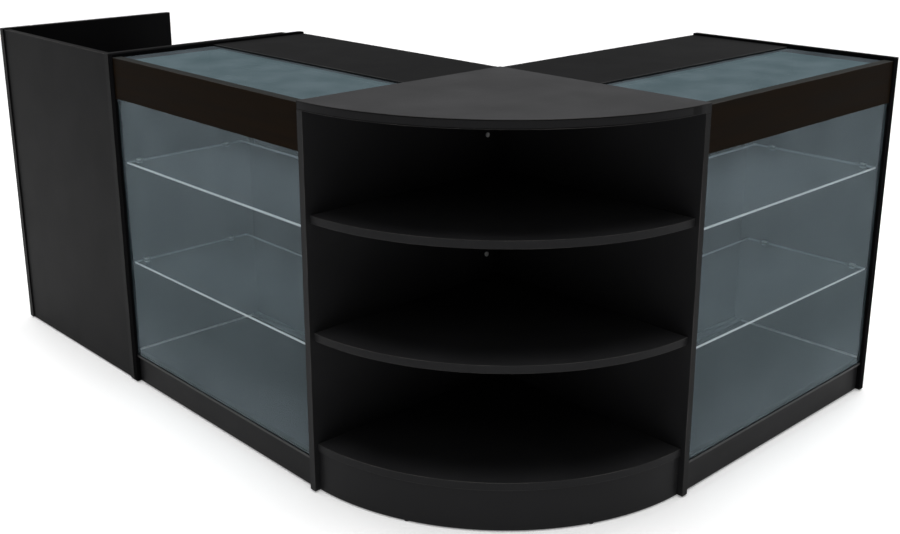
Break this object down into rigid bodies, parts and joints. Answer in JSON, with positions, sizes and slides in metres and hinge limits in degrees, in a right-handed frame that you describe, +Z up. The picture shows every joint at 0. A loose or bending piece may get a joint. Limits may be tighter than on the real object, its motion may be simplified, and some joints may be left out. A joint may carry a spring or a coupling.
{
  "type": "checkout counter",
  "caption": "L-shaped retail counter: till block and glass showcases with rear sliding doors, joined by an open quarter-round shelf unit.",
  "frame": {"origin": "on the floor, below the centre of the counter's box", "axes": "+Z up; +X along the right wing, away from the corner; +Y along the left wing, away from the corner, towards the till block"},
  "size_m": [1.4, 2.05, 0.9],
  "materials": {
    "black_melamine": "satin melamine facing on chipboard, black",
    "fascia_laminate": "smooth brown-black laminate",
    "clear_glass": "clear float glass with polished edges",
    "black_plastic": "black moulded plastic",
    "grey_plastic": "grey moulded plastic",
    "track_aluminium": "satin anodised extrusion",
    "lock_chrome": "polished plate",
    "zinc_steel": "bright zinc plate"
  },
  "bodies": {
    "counter": {"left_case_inner_end_panel": "black_melamine", "left_case_outer_end_panel": "black_melamine", "left_case_deck": "black_melamine", "left_case_front_plinth": "black_melamine", "left_case_rear_plinth": "black_melamine", "left_case_fascia_rail": "fascia_laminate", "left_case_worktop": "black_melamine", "left_case_worktop_rail": "black_melamine", "left_case_top_glass": "clear_glass", "left_case_front_glass": "clear_glass", "left_case_front_glass_channel": "black_plastic", "left_case_lower_glass_shelf": "clear_glass", "left_case_upper_glass_shelf": "clear_glass", "left_case_shelf_clips": "zinc_steel", "left_case_door_tracks": "track_aluminium", "right_case_inner_end_panel": "black_melamine", "right_case_outer_end_panel": "black_melamine", "right_case_deck": "black_melamine", "right_case_front_plinth": "black_melamine", "right_case_rear_plinth": "black_melamine", "right_case_fascia_rail": "fascia_laminate", "right_case_worktop": "black_melamine", "right_case_worktop_rail": "black_melamine", "right_case_top_glass": "clear_glass", "right_case_front_glass": "clear_glass", "right_case_front_glass_channel": "black_plastic", "right_case_lower_glass_shelf": "clear_glass", "right_case_upper_glass_shelf": "clear_glass", "right_case_shelf_clips": "zinc_steel", "right_case_door_tracks": "track_aluminium", "bolt_caps": "grey_plastic", "corner_bottom_shelf": "black_melamine", "corner_left_panel": "black_melamine", "corner_lower_shelf": "black_melamine", "corner_plinth": "black_melamine", "corner_right_panel": "black_melamine", "corner_top": "black_melamine", "corner_upper_shelf": "black_melamine", "floor_glides": "black_plastic", "till_base_shelf": "black_melamine", "till_front_panel": "black_melamine", "till_inner_end_panel": "black_melamine", "till_outer_end_panel": "black_melamine", "till_rear_plinth": "black_melamine", "till_storage_shelf": "black_melamine", "till_surface_rail": "black_melamine", "till_work_surface": "black_melamine", "unit_bolts": "zinc_steel"},
    "left_outer_door": {"left_case_outer_door": "black_melamine", "left_case_outer_door_pull": "black_plastic", "left_case_lock_housing": "lock_chrome"},
    "left_inner_door": {"left_case_inner_door": "black_melamine", "left_case_inner_door_pull": "black_plastic"},
    "left_lock_barrel": {"left_case_lock_barrel": "lock_chrome"},
    "right_outer_door": {"right_case_outer_door": "black_melamine", "right_case_outer_door_pull": "black_plastic", "right_case_lock_housing": "lock_chrome"},
    "right_inner_door": {"right_case_inner_door": "black_melamine", "right_case_inner_door_pull": "black_plastic"},
    "right_lock_barrel": {"right_case_lock_barrel": "lock_chrome"}
  },
  "joints": [
    {"name": "left_outer_door_slide", "type": "slide", "parent": "counter", "child": "left_outer_door", "axis": [0, -1, 0], "range_m": [0, 0.36]},
    {"name": "left_inner_door_slide", "type": "slide", "parent": "counter", "child": "left_inner_door", "axis": [0, 1, 0], "range_m": [0, 0.36]},
    {"name": "right_outer_door_slide", "type": "slide", "parent": "counter", "child": "right_outer_door", "axis": [-1, 0, 0], "range_m": [0, 0.36]},
    {"name": "right_inner_door_slide", "type": "slide", "parent": "counter", "child": "right_inner_door", "axis": [1, 0, 0], "range_m": [0, 0.36]},
    {"name": "left_lock_turn", "type": "hinge", "parent": "left_outer_door", "child": "left_lock_barrel", "pos_m": [-0.292, 0.332, 0.64], "axis": [1, 0, 0], "range_deg": [0, 90]},
    {"name": "right_lock_turn", "type": "hinge", "parent": "right_outer_door", "child": "right_lock_barrel", "pos_m": [0.657, -0.617, 0.64], "axis": [0, -1, 0], "range_deg": [0, 90]}
  ]
}
